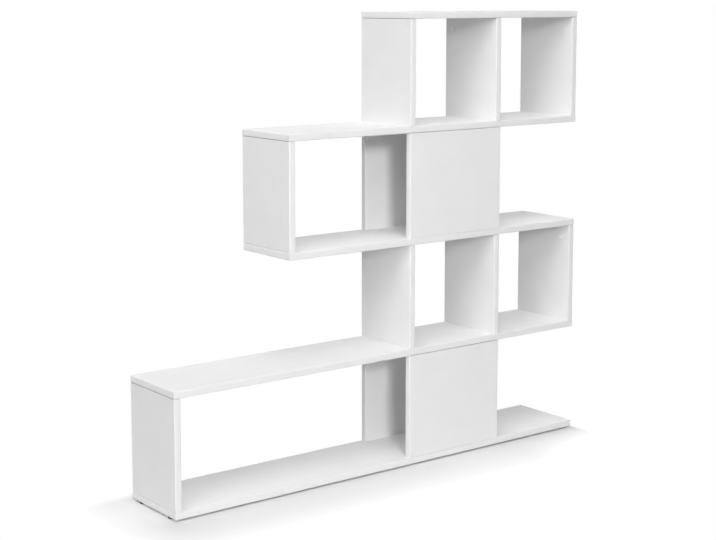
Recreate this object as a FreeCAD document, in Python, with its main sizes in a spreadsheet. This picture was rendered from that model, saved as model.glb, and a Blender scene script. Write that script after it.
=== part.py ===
# Stepped open bookcase of white melamine-faced board, knocked together with cam locks.
# Five boards of three lengths lie on twelve upright panels in four tiers. The uprights of the
# first and third tier stand across the depth. In the second and fourth tier one end panel stands
# across, and a front and a back panel stand along the length. Boards and tiers count from the top.
# Frame: X along the length, Y towards the back, Z up, origin on the floor under the middle.

import FreeCAD, Part
import Sketcher
import os
from collections import namedtuple

SIZES = {
    # Boards, tiers and bays
    "board_thickness": 18,
    "unit_depth": 212,
    "tier_clear_height": 282,
    "long_board_length": 1345,
    "mid_board_length": 1005,
    "top_board_length": 615,
    "right_bay_width": 275,
    # Edge bands glued round the raw edges, with their corners milled off
    "edge_band_thickness": 2,
    "edge_band_chamfer": 1.2,
    # Fits, the free ends of blind bores, and how far a cut starts outside its face
    "fit_clearance": 0.1,
    "bore_end_clearance": 1,
    "cut_overrun": 2,
    # Fastener rows, from an upright's own standing edge
    "across_row_inset": 30,
    "along_row_inset": 50,
    # Cam lock, let into an upright near its top
    "cam_diameter": 15,
    "cam_setback": 34,
    "cam_face_recess": 0.5,
    "cam_lip": 0.5,
    "cam_drive_length": 8,
    "cam_drive_width": 1.6,
    "cam_drive_depth": 2,
    # Cam bolt, screwed into the board above
    "bolt_shank_diameter": 5,
    "bolt_thread_length": 11,
    "bolt_head_diameter": 7,
    "bolt_head_length": 4,
    "bolt_seat_offset": 2.4,
    "bolt_bore_clearance": 0.5,
    # Beech dowel beside each cam lock
    "dowel_diameter": 8,
    "dowel_length": 30,
    "dowel_board_depth": 10,
    # Screw, driven up through the board below, with its head let in to leave room for a cap
    "screw_shank_diameter": 6,
    "screw_head_diameter": 10,
    "screw_head_height": 3,
    "screw_head_recess": 0.5,
    "screw_length": 50,
    # Glides under the bottom board
    "glide_diameter": 20,
    "glide_height": 5,
    "glide_end_inset": 11,
    "glide_edge_inset": 37,
}

doc = FreeCAD.newDocument("SteppedBookcase")
sheet = doc.addObject("Spreadsheet::Sheet", "Sizes")
for row, (alias, size) in enumerate(SIZES.items(), start=1):
    sheet.set(f"A{row}", alias.replace("_", " "))
    sheet.set(f"B{row}", str(size))
    sheet.setAlias(f"B{row}", alias)
doc.recompute()

# Places shared by the pieces, as expressions on the sheet

HALF_DEPTH = "(Sizes.unit_depth / 2)"
RIGHT_END = "(Sizes.long_board_length / 2)"
LONG_LEFT = f"({RIGHT_END} - Sizes.long_board_length)"
MID_LEFT = f"({RIGHT_END} - Sizes.mid_board_length)"
TOP_LEFT = f"({RIGHT_END} - Sizes.top_board_length)"
RIGHT_PANEL = f"({RIGHT_END} - Sizes.board_thickness)"
MIDDLE_PANEL = f"({RIGHT_PANEL} - Sizes.right_bay_width - Sizes.board_thickness)"
ALONG_WIDTH = f"({MIDDLE_PANEL} + Sizes.board_thickness - {TOP_LEFT})"
ALONG_CENTRE = f"({TOP_LEFT} + {ALONG_WIDTH} / 2)"
MID_THICKNESS = "(Sizes.board_thickness / 2)"

Board = namedtuple("Board", "label left steps_up")
BOARDS = [
    Board("top_board", TOP_LEFT, 4),
    Board("second_board", MID_LEFT, 3),
    Board("third_board", MID_LEFT, 2),
    Board("fourth_board", LONG_LEFT, 1),
    Board("bottom_board", LONG_LEFT, 0),
]

# An upright's place is its left face where it stands across, and its rear face where it stands along.
# Its far face looks right or forward. Its cam is towards the back or the right where cam_side is 1.
Upright = namedtuple("Upright", "label tier across place cam_on_far_face cam_side")
UPRIGHTS = [
    Upright("tier1_left_panel", 1, True, TOP_LEFT, True, 1),
    Upright("tier1_middle_panel", 1, True, MIDDLE_PANEL, False, 1),
    Upright("tier1_right_panel", 1, True, RIGHT_PANEL, False, -1),
    Upright("tier2_end_panel", 2, True, MID_LEFT, True, 1),
    Upright("tier2_front_panel", 2, False, f"(Sizes.board_thickness - {HALF_DEPTH})", False, -1),
    Upright("tier2_back_panel", 2, False, HALF_DEPTH, True, -1),
    Upright("tier3_left_panel", 3, True, TOP_LEFT, True, 1),
    Upright("tier3_middle_panel", 3, True, MIDDLE_PANEL, False, 1),
    Upright("tier3_right_panel", 3, True, RIGHT_PANEL, False, -1),
    Upright("tier4_end_panel", 4, True, LONG_LEFT, True, 1),
    Upright("tier4_front_panel", 4, False, f"(Sizes.board_thickness - {HALF_DEPTH})", False, -1),
    Upright("tier4_back_panel", 4, False, HALF_DEPTH, True, -1),
]
TIERS = sorted({upright.tier for upright in UPRIGHTS})


def board_level(board):
    """Height of a board's underside."""
    return f"(Sizes.glide_height + {board.steps_up} * (Sizes.tier_clear_height + Sizes.board_thickness))"


def foot_level(upright):
    """Height of the board top that an upright stands on."""
    return f"({board_level(BOARDS[upright.tier])} + Sizes.board_thickness)"


def width_of(upright):
    """Width of an upright over its edge bands."""
    return "Sizes.unit_depth" if upright.across else ALONG_WIDTH


def row_place(upright, side):
    """Distance of a fastener row from the middle of an upright's width."""
    inset = "Sizes.across_row_inset" if upright.across else "Sizes.along_row_inset"
    return f"({side} * ({width_of(upright)} / 2 - {inset}))"


def in_unit(upright, along, up, through):
    """Place in the bookcase of a point along an upright's width, up from its foot and through it."""
    height = f"{foot_level(upright)} + {up}"
    if upright.across:
        return f"{upright.place} + {through}", along, height
    return f"{ALONG_CENTRE} + {along}", f"{upright.place} - {through}", height


# Helpers for sketches, features and placements

AXIS_X = FreeCAD.Vector(1, 0, 0)
AXIS_Y = FreeCAD.Vector(0, 1, 0)
AXIS_Z = FreeCAD.Vector(0, 0, 1)
UNTURNED = FreeCAD.Rotation()
STANDS_ACROSS = FreeCAD.Rotation(AXIS_Y, AXIS_Z, AXIS_X, "XYZ")
STANDS_ALONG = FreeCAD.Rotation(AXIS_X, 90)
TURNED_ROUND = FreeCAD.Rotation(AXIS_Y, 180)
DRILL_BACK = FreeCAD.Rotation(AXIS_X, 180)
DRILL_FROM_TOP_END = FreeCAD.Rotation(AXIS_X, 90)
DRILL_FROM_FOOT = FreeCAD.Rotation(AXIS_X, -90)

# Shanks that never show, and the bores for them, have a few flat sides in place of a round
HIDDEN_SHANK_SIDES = 8


def value_of(expression):
    """Present value of an expression, so that a sketch starts at its solved shape."""
    return float(sheet.evalExpression(expression))


def new_body(label):
    """Empty body named for its piece."""
    body = doc.addObject("PartDesign::Body", label)
    body.Label = label
    return body


def new_sketch(body, name, plane_role, offset=None):
    """Sketch on one of the body's own planes, moved along the plane's normal by an expression."""
    sketch = body.newObject("Sketcher::SketchObject", name)
    plane = next(plane for plane in body.Origin.OriginFeatures if plane.Role == plane_role)
    sketch.AttachmentSupport = (plane, "")
    sketch.MapMode = "FlatFace"
    if offset:
        sketch.setExpression("AttachmentOffset.Base.z", offset)
    return sketch


def bind(sketch, constraint, expression):
    """Adds a dimension to a sketch and ties it to the sheet."""
    index = sketch.addConstraint(constraint)
    sketch.renameConstraint(index, f"dimension{index}")
    sketch.setExpression(f"Constraints.dimension{index}", expression)


def fix_point(sketch, geometry, point, across, up):
    """Ties a point of a sketch to the sketch's origin."""
    across_rule = Sketcher.Constraint("DistanceX", -1, 1, geometry, point, value_of(across))
    bind(sketch, across_rule, across)
    up_rule = Sketcher.Constraint("DistanceY", -1, 1, geometry, point, value_of(up))
    bind(sketch, up_rule, up)


def draw_outline(sketch, corners):
    """Closed outline of straight lines through corners given as pairs of expressions."""
    points = [FreeCAD.Vector(value_of(across), value_of(up), 0) for across, up in corners]
    lines = []
    for start, end in zip(points, points[1:] + points[:1]):
        lines.append(sketch.addGeometry(Part.LineSegment(start, end)))
    for line, following in zip(lines, lines[1:] + lines[:1]):
        sketch.addConstraint(Sketcher.Constraint("Coincident", line, 2, following, 1))
    for line, (across, up) in zip(lines, corners):
        fix_point(sketch, line, 1, across, up)


def draw_rectangle(sketch, left, right, low, high):
    """Rectangle between four expressions."""
    draw_outline(sketch, [(left, low), (right, low), (right, high), (left, high)])


def draw_circle(sketch, diameter):
    """Circle about the sketch's origin."""
    circle = sketch.addGeometry(Part.Circle(FreeCAD.Vector(), AXIS_Z, value_of(diameter) / 2))
    sketch.addConstraint(Sketcher.Constraint("Coincident", circle, 3, -1, 1))
    bind(sketch, Sketcher.Constraint("Diameter", circle, value_of(diameter)), diameter)


def pad(body, sketch, length):
    """Pads a sketch by an expression."""
    feature = body.newObject("PartDesign::Pad", f"{sketch.Name}_pad")
    feature.Profile = sketch
    feature.setExpression("Length", length)
    doc.recompute()


def pocket(body, sketch, depth, reverse=False, symmetric=False):
    """Cuts a sketch into its body: against the sketch's normal, along it, or both ways from it."""
    feature = body.newObject("PartDesign::Pocket", f"{sketch.Name}_pocket")
    feature.Profile = sketch
    feature.setExpression("Length", depth)
    feature.Reversed = reverse
    if symmetric:
        feature.SideType = "Symmetric"
    doc.recompute()


def place(piece, position, rotation=UNTURNED):
    """Sets a piece at a position given as three expressions."""
    piece.Placement = FreeCAD.Placement(FreeCAD.Vector(), rotation)
    for axis, expression in zip("xyz", position):
        piece.setExpression(f".Placement.Base.{axis}", expression)


def shank(body, diameter, length, level):
    """Adds a straight shank about the body's upright axis, up from a level."""
    prism = body.newObject("PartDesign::AdditivePrism", f"{body.Name}_shank")
    prism.Polygon = HIDDEN_SHANK_SIDES
    prism.setExpression("Circumradius", f"{diameter} / 2")
    prism.setExpression("Height", length)
    place(prism, ("0", "0", level))
    doc.recompute()


def drill(body, diameter, depth, position, rotation=UNTURNED):
    """Bores for a hidden shank, from a point outside a face by the overrun."""
    bore = body.newObject("PartDesign::SubtractivePrism", f"{body.Name}_bore")
    bore.Polygon = HIDDEN_SHANK_SIDES
    bore.setExpression("Circumradius", f"({diameter}) / 2")
    bore.setExpression("Height", f"{depth} + Sizes.cut_overrun")
    place(bore, position, rotation)
    doc.recompute()


def group(label, members):
    """One named sub-part that holds several separate solids."""
    compound = doc.addObject("Part::Compound", label)
    compound.Label = label
    compound.Links = members
    sub_parts.append(compound)


def copies(label, pattern, places):
    """One named sub-part made of like fasteners, each at a position and a rotation."""
    links = []
    for position, rotation in places:
        link = doc.addObject("App::Link", f"{label}_copy")
        link.LinkedObject = pattern
        place(link, position, rotation)
        links.append(link)
    group(label, links)


sub_parts = []

# Bores that the fasteners need, tied to the fasteners' own sizes

CAM_BORE = "Sizes.cam_diameter + 2 * Sizes.fit_clearance"
CAM_END = f"({MID_THICKNESS} + Sizes.bolt_head_diameter / 2 + Sizes.cam_lip)"
CAM_BORE_DEPTH = f"{CAM_END} + Sizes.cam_lip"
BOLT_BORE = "Sizes.bolt_head_diameter + 2 * Sizes.bolt_bore_clearance"
THREAD_BORE = "Sizes.bolt_shank_diameter + 2 * Sizes.fit_clearance"
THREAD_BORE_DEPTH = "Sizes.bolt_thread_length + Sizes.bore_end_clearance"
DOWEL_BORE = "Sizes.dowel_diameter + 2 * Sizes.fit_clearance"
DOWEL_BOARD_BORE_DEPTH = "Sizes.dowel_board_depth + Sizes.bore_end_clearance"
DOWEL_PANEL_BORE_DEPTH = "Sizes.dowel_length - Sizes.dowel_board_depth + Sizes.bore_end_clearance"
SCREW_BORE = "Sizes.screw_shank_diameter + 2 * Sizes.fit_clearance"
SCREW_SINK = "Sizes.screw_head_diameter + 2 * Sizes.fit_clearance"
SCREW_SINK_DEPTH = "Sizes.screw_head_height + Sizes.screw_head_recess"
SCREW_FOOT = "(Sizes.board_thickness - Sizes.screw_head_recess)"
SCREW_PANEL_BORE_DEPTH = f"Sizes.screw_length - {SCREW_FOOT} + Sizes.bore_end_clearance"


def cam_place(upright):
    """Middle of a cam's face, on the face that it is let into."""
    through = "Sizes.board_thickness" if upright.cam_on_far_face else "0"
    up = "(Sizes.tier_clear_height - Sizes.cam_setback)"
    return in_unit(upright, row_place(upright, upright.cam_side), up, through)


def bolt_place(upright):
    """Point where a cam bolt enters the underside of the board above."""
    return in_unit(upright, row_place(upright, upright.cam_side), "Sizes.tier_clear_height", MID_THICKNESS)


def dowel_place(upright):
    """Foot of the dowel in the other row of an upright's top end."""
    up = "(Sizes.tier_clear_height + Sizes.dowel_board_depth - Sizes.dowel_length)"
    return in_unit(upright, row_place(upright, -upright.cam_side), up, MID_THICKNESS)


def screw_place(upright):
    """Head of the screw that comes up through the board below, in the middle of the width."""
    return in_unit(upright, "0", f"(-{SCREW_FOOT})", MID_THICKNESS)


# Boards, drilled from below for the bolts and dowels of the tier under them and for their screws


def drill_under(body, diameter, depth, position):
    """Bores up into a board from its underside, at the plan place of a fastener."""
    drill(body, diameter, depth, (position[0], position[1], "-Sizes.cut_overrun"))


def add_board(board, hung, carried):
    """Board with its core inside the edge bands, the uprights hung under it and those it carries."""
    body = new_body(board.label)
    sketch = new_sketch(body, f"{board.label}_outline", "XY_Plane")
    band = "Sizes.edge_band_thickness"
    draw_rectangle(
        sketch,
        f"{board.left} + {band}",
        f"{RIGHT_END} - {band}",
        f"{band} - {HALF_DEPTH}",
        f"{HALF_DEPTH} - {band}",
    )
    pad(body, sketch, "Sizes.board_thickness")
    for upright in hung:
        drill_under(body, THREAD_BORE, THREAD_BORE_DEPTH, bolt_place(upright))
        drill_under(body, DOWEL_BORE, DOWEL_BOARD_BORE_DEPTH, dowel_place(upright))
    for upright in carried:
        drill_under(body, SCREW_SINK, SCREW_SINK_DEPTH, screw_place(upright))
        through = "Sizes.board_thickness + Sizes.cut_overrun"
        drill_under(body, SCREW_BORE, through, screw_place(upright))
    place(body, ("0", "0", board_level(board)))
    sub_parts.append(body)


for index, board in enumerate(BOARDS):
    hung_under = [upright for upright in UPRIGHTS if upright.tier == index + 1]
    carried_on = [upright for upright in UPRIGHTS if upright.tier == index]
    add_board(board, hung_under, carried_on)

# Uprights, drilled in the face for the cam, in the top end for bolt and dowel, in the foot for the screw


def add_upright(upright):
    """Upright drawn flat, with its width along X, its height along Y and its far face up."""
    body = new_body(upright.label)
    half_core = f"({width_of(upright)} / 2 - Sizes.edge_band_thickness)"
    outline = new_sketch(body, f"{upright.label}_outline", "XY_Plane")
    draw_rectangle(outline, f"-{half_core}", half_core, "0", "Sizes.tier_clear_height")
    pad(body, outline, "Sizes.board_thickness")
    cam_row = row_place(upright, upright.cam_side)
    dowel_row = row_place(upright, -upright.cam_side)
    cam_level = "Sizes.tier_clear_height - Sizes.cam_setback"
    cam_bore = body.newObject("PartDesign::SubtractiveCylinder", f"{upright.label}_cam_bore")
    cam_bore.setExpression("Radius", f"({CAM_BORE}) / 2")
    cam_bore.setExpression("Height", f"{CAM_BORE_DEPTH} + Sizes.cut_overrun")
    if upright.cam_on_far_face:
        place(cam_bore, (cam_row, cam_level, "Sizes.board_thickness + Sizes.cut_overrun"), DRILL_BACK)
    else:
        place(cam_bore, (cam_row, cam_level, "-Sizes.cut_overrun"))
    doc.recompute()
    above_top = "Sizes.tier_clear_height + Sizes.cut_overrun"
    bolt_start = (cam_row, above_top, MID_THICKNESS)
    drill(body, BOLT_BORE, "Sizes.cam_setback", bolt_start, DRILL_FROM_TOP_END)
    dowel_start = (dowel_row, above_top, MID_THICKNESS)
    drill(body, DOWEL_BORE, DOWEL_PANEL_BORE_DEPTH, dowel_start, DRILL_FROM_TOP_END)
    screw_start = ("0", "-Sizes.cut_overrun", MID_THICKNESS)
    drill(body, SCREW_BORE, SCREW_PANEL_BORE_DEPTH, screw_start, DRILL_FROM_FOOT)
    rotation = STANDS_ACROSS if upright.across else STANDS_ALONG
    place(body, in_unit(upright, "0", "0", "0"), rotation)
    sub_parts.append(body)


for upright in UPRIGHTS:
    add_upright(upright)

# Edge bands: strips on every edge that shows, with their outer long corners milled off


def add_strip(name, start, length, outward, lengthwise):
    """Strip on the middle of a core's edge, facing outward and running lengthwise from its start."""
    body = new_body(name)
    section = new_sketch(body, f"{name}_section", "XY_Plane")
    shoulder = "Sizes.edge_band_thickness - Sizes.edge_band_chamfer"
    flat_half = f"({MID_THICKNESS} - Sizes.edge_band_chamfer)"
    corners = [
        (f"-{MID_THICKNESS}", "0"),
        (MID_THICKNESS, "0"),
        (MID_THICKNESS, shoulder),
        (flat_half, "Sizes.edge_band_thickness"),
        (f"-{flat_half}", "Sizes.edge_band_thickness"),
        (f"-{MID_THICKNESS}", shoulder),
    ]
    draw_outline(section, corners)
    pad(body, section, length)
    place(body, start, FreeCAD.Rotation(outward.cross(lengthwise), outward, lengthwise, "XYZ"))
    return body


def add_board_bands(board):
    """Bands on the front, back and both ends of a board."""
    label = f"{board.label}_edge_bands"
    middle = f"{board_level(board)} + {MID_THICKNESS}"
    half_core = f"({HALF_DEPTH} - Sizes.edge_band_thickness)"
    strips = []
    for side in (-1, 1):
        start = (board.left, f"{side} * {half_core}", middle)
        length = f"{RIGHT_END} - {board.left}"
        strips.append(add_strip(f"{label}_long", start, length, AXIS_Y * side, AXIS_X))
    left_end = f"{board.left} + Sizes.edge_band_thickness"
    right_end = f"{RIGHT_END} - Sizes.edge_band_thickness"
    for end, outward in ((left_end, -AXIS_X), (right_end, AXIS_X)):
        start = (end, f"-{half_core}", middle)
        strips.append(add_strip(f"{label}_end", start, f"2 * {half_core}", outward, AXIS_Y))
    group(label, strips)


def add_upright_bands(upright):
    """Bands on the two standing edges of an upright."""
    label = f"{upright.label}_edge_bands"
    half_core = f"({width_of(upright)} / 2 - Sizes.edge_band_thickness)"
    width_axis = AXIS_Y if upright.across else AXIS_X
    strips = []
    for side in (-1, 1):
        start = in_unit(upright, f"{side} * {half_core}", "0", MID_THICKNESS)
        outward = width_axis * side
        strips.append(add_strip(f"{label}_strip", start, "Sizes.tier_clear_height", outward, AXIS_Z))
    group(label, strips)


for board in BOARDS:
    add_board_bands(board)
for upright in UPRIGHTS:
    add_upright_bands(upright)

# Cam lock: a disc whose hollow catches the bolt's head. The head goes in at the wide window to the
# right, and a quarter turn brings the narrow slot round the shank, here at the top.

SHANK_GAP = "(Sizes.bolt_shank_diameter / 2 + Sizes.fit_clearance)"
HEAD_GAP = "(Sizes.bolt_head_diameter / 2 + Sizes.fit_clearance)"
HEAD_REACH = "max(Sizes.bolt_seat_offset; Sizes.bolt_head_length - Sizes.bolt_seat_offset)"
HEAD_CORNER = f"sqrt((Sizes.bolt_head_diameter / 2) ^ 2 + {HEAD_REACH} ^ 2)"
CAM_HOLLOW = f"2 * ({HEAD_CORNER} + Sizes.fit_clearance)"
BEYOND_CAM = "(Sizes.cam_diameter / 2 + Sizes.cut_overrun)"

cam_lock = new_body("cam_lock_pattern")
disc = new_sketch(cam_lock, "cam_disc", "XY_Plane", f"-{CAM_END}")
draw_circle(disc, "Sizes.cam_diameter")
pad(cam_lock, disc, f"{CAM_END} - Sizes.cam_face_recess")
hollow = new_sketch(cam_lock, "cam_hollow", "XY_Plane", f"-{CAM_END}")
draw_circle(hollow, CAM_HOLLOW)
pocket(cam_lock, hollow, f"Sizes.cam_lip + Sizes.bolt_head_diameter / 2 + {HEAD_GAP}", reverse=True)
slot = new_sketch(cam_lock, "cam_shank_slot", "XY_Plane", f"-{MID_THICKNESS}")
draw_rectangle(slot, f"-{SHANK_GAP}", BEYOND_CAM, f"-{SHANK_GAP}", BEYOND_CAM)
pocket(cam_lock, slot, f"2 * {SHANK_GAP}", symmetric=True)
window = new_sketch(cam_lock, "cam_head_window", "XY_Plane", f"-{MID_THICKNESS}")
draw_rectangle(window, "0", BEYOND_CAM, f"-{HEAD_GAP}", HEAD_GAP)
pocket(cam_lock, window, f"2 * {HEAD_GAP}", symmetric=True)
drive = new_sketch(cam_lock, "cam_drive", "XY_Plane", "-Sizes.cam_face_recess")
half_drive = ("Sizes.cam_drive_length / 2", "Sizes.cam_drive_width / 2")
draw_rectangle(drive, f"-{half_drive[0]}", half_drive[0], f"-{half_drive[1]}", half_drive[1])
pocket(cam_lock, drive, "Sizes.cam_drive_depth")

# Cam bolt: its thread in the board above, its shank down the panel's end bore, its head in the cam

BOLT_REACH = "(Sizes.cam_setback - Sizes.bolt_seat_offset)"
cam_bolt = new_body("cam_bolt_pattern")
bolt_length = f"{BOLT_REACH} + Sizes.bolt_thread_length"
shank(cam_bolt, "Sizes.bolt_shank_diameter", bolt_length, f"-{BOLT_REACH}")
head_level = f"-{BOLT_REACH} - Sizes.bolt_head_length"
shank(cam_bolt, "Sizes.bolt_head_diameter", "Sizes.bolt_head_length", head_level)

# Dowel: a beech pin

dowel = new_body("dowel_pattern")
shank(dowel, "Sizes.dowel_diameter", "Sizes.dowel_length", "0")

# Screw: its head let into the underside of the board and its shank up into the panel

screw = new_body("screw_pattern")
shank(screw, "Sizes.screw_head_diameter", "Sizes.screw_head_height", "0")
shank(screw, "Sizes.screw_shank_diameter", "Sizes.screw_length", "0")

# Fasteners at every joint, one sub-part of each kind in each tier

for tier in TIERS:
    in_tier = [upright for upright in UPRIGHTS if upright.tier == tier]
    cams = []
    for upright in in_tier:
        rotation = STANDS_ACROSS if upright.across else STANDS_ALONG
        if not upright.cam_on_far_face:
            rotation = rotation * TURNED_ROUND
        cams.append((cam_place(upright), rotation))
    copies(f"tier{tier}_cam_locks", cam_lock, cams)
    copies(f"tier{tier}_cam_bolts", cam_bolt, [(bolt_place(u), UNTURNED) for u in in_tier])
    copies(f"tier{tier}_dowels", dowel, [(dowel_place(u), UNTURNED) for u in in_tier])
    copies(f"tier{tier}_screws", screw, [(screw_place(u), UNTURNED) for u in in_tier])

# Glides: three pairs of plastic discs, at both ends and under the front and back panels

glide = doc.addObject("Part::Cylinder", "glide_pattern")
glide.setExpression("Radius", "Sizes.glide_diameter / 2")
glide.setExpression("Height", "Sizes.glide_height")
glide_columns = [
    f"{LONG_LEFT} + Sizes.glide_end_inset",
    ALONG_CENTRE,
    f"{RIGHT_END} - Sizes.glide_end_inset",
]
glide_row = f"({HALF_DEPTH} - Sizes.glide_edge_inset)"
glide_places = []
for column in glide_columns:
    for side in (-1, 1):
        glide_places.append(((column, f"{side} * {glide_row}", "0"), UNTURNED))
copies("floor_glides", glide, glide_places)

# Check every object and every cut, then write the sub-parts

doc.recompute()
for item in doc.Objects:
    if "Invalid" in item.State or "Error" in item.State:
        raise RuntimeError(f"{item.Label} failed to build: {item.State}")
    if item.TypeId.startswith(("PartDesign::Pocket", "PartDesign::Subtractive")):
        if not item.Shape.Volume < item.BaseFeature.Shape.Volume:
            raise RuntimeError(f"{item.Label} cuts nothing")
for sub_part in sub_parts:
    if sub_part.Shape.isNull() or not sub_part.Shape.isValid():
        raise RuntimeError(f"{sub_part.Label} has no valid shape")
os.makedirs("parts", exist_ok=True)
for sub_part in sub_parts:
    sub_part.Shape.exportStep(f"parts/{sub_part.Label}.step")
print(f"{len(sub_parts)} sub-parts written")
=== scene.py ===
import math

import bmesh
import bpy
from mathutils import Euler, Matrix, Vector


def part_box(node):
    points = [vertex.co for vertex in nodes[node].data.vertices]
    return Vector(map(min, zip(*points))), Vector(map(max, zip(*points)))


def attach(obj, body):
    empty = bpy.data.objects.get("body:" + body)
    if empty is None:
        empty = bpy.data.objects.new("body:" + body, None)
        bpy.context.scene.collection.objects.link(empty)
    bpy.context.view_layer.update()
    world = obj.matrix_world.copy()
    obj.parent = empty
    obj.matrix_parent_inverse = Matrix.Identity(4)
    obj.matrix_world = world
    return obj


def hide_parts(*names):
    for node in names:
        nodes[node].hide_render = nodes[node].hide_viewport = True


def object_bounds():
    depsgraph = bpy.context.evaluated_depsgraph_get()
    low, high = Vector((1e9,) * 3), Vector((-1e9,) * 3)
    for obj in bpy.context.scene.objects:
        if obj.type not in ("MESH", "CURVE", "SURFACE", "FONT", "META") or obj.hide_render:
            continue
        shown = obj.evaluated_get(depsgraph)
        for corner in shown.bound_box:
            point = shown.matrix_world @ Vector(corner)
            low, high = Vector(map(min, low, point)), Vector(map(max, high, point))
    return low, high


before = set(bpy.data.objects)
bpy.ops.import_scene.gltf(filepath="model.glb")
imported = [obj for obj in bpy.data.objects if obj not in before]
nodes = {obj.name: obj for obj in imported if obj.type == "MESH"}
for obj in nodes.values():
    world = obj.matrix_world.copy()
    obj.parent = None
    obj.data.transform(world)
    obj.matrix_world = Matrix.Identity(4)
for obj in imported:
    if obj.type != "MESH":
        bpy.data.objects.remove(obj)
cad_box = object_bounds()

# Boards.
# Particle board faced on both sides with white melamine paper, sawn to size and drilled for its fittings.
# The press plate leaves a very fine pearl grain in the face, which has a satin sheen.


def step(tree, kind, feeds=None, **choices):
    """Adds a node to a tree, sets its choices and feeds its inputs from sockets or with plain values."""
    node = tree.nodes.new(kind)
    for choice, value in choices.items():
        setattr(node, choice, value)
    for socket, feed in (feeds or {}).items():
        if isinstance(feed, bpy.types.NodeSocket):
            tree.links.new(feed, node.inputs[socket])
        else:
            node.inputs[socket].default_value = feed
    return node


def new_finish(name):
    """Material with its tree, its shader and the place of each point on the piece."""
    finish = bpy.data.materials.new(name)
    finish.use_nodes = True
    tree = finish.node_tree
    place = step(tree, "ShaderNodeTexCoord").outputs["Object"]
    return finish, tree, tree.nodes["Principled BSDF"], place


def two_tones(tree, pattern, darker, lighter, low=0.3, high=0.7):
    """Colour that runs from a darker to a lighter tone as a pattern rises."""
    ramp = step(tree, "ShaderNodeValToRGB", {"Fac": pattern})
    for stop, position, tone in zip(ramp.color_ramp.elements, (low, high), (darker, lighter)):
        stop.position = position
        stop.color = (*tone, 1.0)
    return ramp.outputs["Color"]


def between(tree, pattern, low, high):
    """Number that runs from low to high as a pattern goes from 0 to 1."""
    limits = {"Value": pattern, "To Min": low, "To Max": high}
    return step(tree, "ShaderNodeMapRange", limits).outputs["Result"]


def dress(endings, finish):
    """Gives a finish to every CAD node whose name ends in one of the endings."""
    for name, node in nodes.items():
        if name.endswith(endings):
            node.data.materials.clear()
            node.data.materials.append(finish)


melamine, tree, shader, place = new_finish("white_melamine_face")
shader.inputs["Specular IOR Level"].default_value = 0.3
cloud = step(tree, "ShaderNodeTexNoise", {"Vector": place, "Scale": 14.0, "Detail": 3.0}).outputs["Fac"]
paper_white = two_tones(tree, cloud, (0.79, 0.79, 0.79), (0.81, 0.81, 0.81))
tree.links.new(paper_white, shader.inputs["Base Color"])
pearl = step(tree, "ShaderNodeTexNoise", {"Vector": place, "Scale": 1400.0, "Detail": 2.0}).outputs["Fac"]
tree.links.new(between(tree, pearl, 0.42, 0.56), shader.inputs["Roughness"])
grain = step(tree, "ShaderNodeBump", {"Height": pearl, "Strength": 0.12, "Distance": 0.0002})
tree.links.new(grain.outputs["Normal"], shader.inputs["Normal"])
dress(("_board", "_panel"), melamine)

# Uprights.
# The same board stood on end between the shelves, drilled for fittings and raw at its sawn ends.
# The top arris is eased, and the outer foot is bevelled at a board's end. The raw board in the ease is
# coloured darker and greyer than bare chipboard as painted shade, which with the groove's own shade leaves a
# dark hairline.

ease_height = 0.0005
ease_depth = 0.0025
foot_bevel_height = 0.003
foot_bevel_depth = 0.0015
cutter_overrun = 0.001
merge_distance = 0.000001

raw_board_and_painted_shade, tree, shader, place = new_finish("raw_board_with_painted_shade")
shader.inputs["Roughness"].default_value = 0.9
chips = step(tree, "ShaderNodeTexNoise", {"Vector": place, "Scale": 700.0, "Detail": 4.0}).outputs["Fac"]
# Darker and greyer than bare chipboard: partly raw board, partly painted shade for the hairline under each
# board.
chip_tone_and_painted_shade = two_tones(tree, chips, (0.2, 0.18, 0.15), (0.36, 0.32, 0.27))
tree.links.new(chip_tone_and_painted_shade, shader.inputs["Base Color"])
crumbs = step(tree, "ShaderNodeBump", {"Height": chips, "Strength": 0.5, "Distance": 0.0003})
tree.links.new(crumbs.outputs["Normal"], shader.inputs["Normal"])


def arris_cutter(low, high):
    """Square ring that takes the arris off the top end of an upright with this box."""
    # Four points to a ring, in the order outer low, outer high, inner low, inner high.
    rings = []
    for inset in (-cutter_overrun, ease_depth):
        left, right = low.x + inset, high.x - inset
        near, far = low.y + inset, high.y - inset
        corners = ((left, near), (right, near), (right, far), (left, far))
        for level in (high.z - ease_height, high.z + cutter_overrun):
            rings.append([(x, y, level) for x, y in corners])
    points = [point for ring in rings for point in ring]
    faces = []
    for one in range(4):
        other = (one + 1) % 4
        for below, above in ((0, 4), (12, 8), (8, 0), (4, 12)):
            faces.append((below + one, below + other, above + other, above + one))
    ring = bpy.data.meshes.new("arris_cutter")
    ring.from_pydata(points, [], faces)
    return bpy.data.objects.new("arris_cutter", ring)


def foot_cutter(low, high, outer, inward):
    """Wedge that bevels the outer foot of an upright which stands at the end of a board."""
    spread = foot_bevel_depth / foot_bevel_height * cutter_overrun
    clear = outer - inward * 2 * cutter_overrun
    bottom, top = low.z - cutter_overrun, low.z + foot_bevel_height + cutter_overrun
    section = [
        (outer + inward * (foot_bevel_depth + spread), bottom),
        (outer - inward * spread, top),
        (clear, top),
        (clear, bottom),
    ]
    near, far = low.y - cutter_overrun, high.y + cutter_overrun
    points = [(x, y, z) for y in (near, far) for x, z in section]
    faces = [(3, 2, 1, 0), (4, 5, 6, 7)]
    faces += [(one, (one + 1) % 4, (one + 1) % 4 + 4, one + 4) for one in range(4)]
    wedge = bmesh.new()
    corners = [wedge.verts.new(point) for point in points]
    for face in faces:
        wedge.faces.new([corners[one] for one in face])
    bmesh.ops.recalc_face_normals(wedge, faces=wedge.faces)
    mesh = bpy.data.meshes.new("foot_cutter")
    wedge.to_mesh(mesh)
    wedge.free()
    return bpy.data.objects.new("foot_cutter", mesh)


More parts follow.
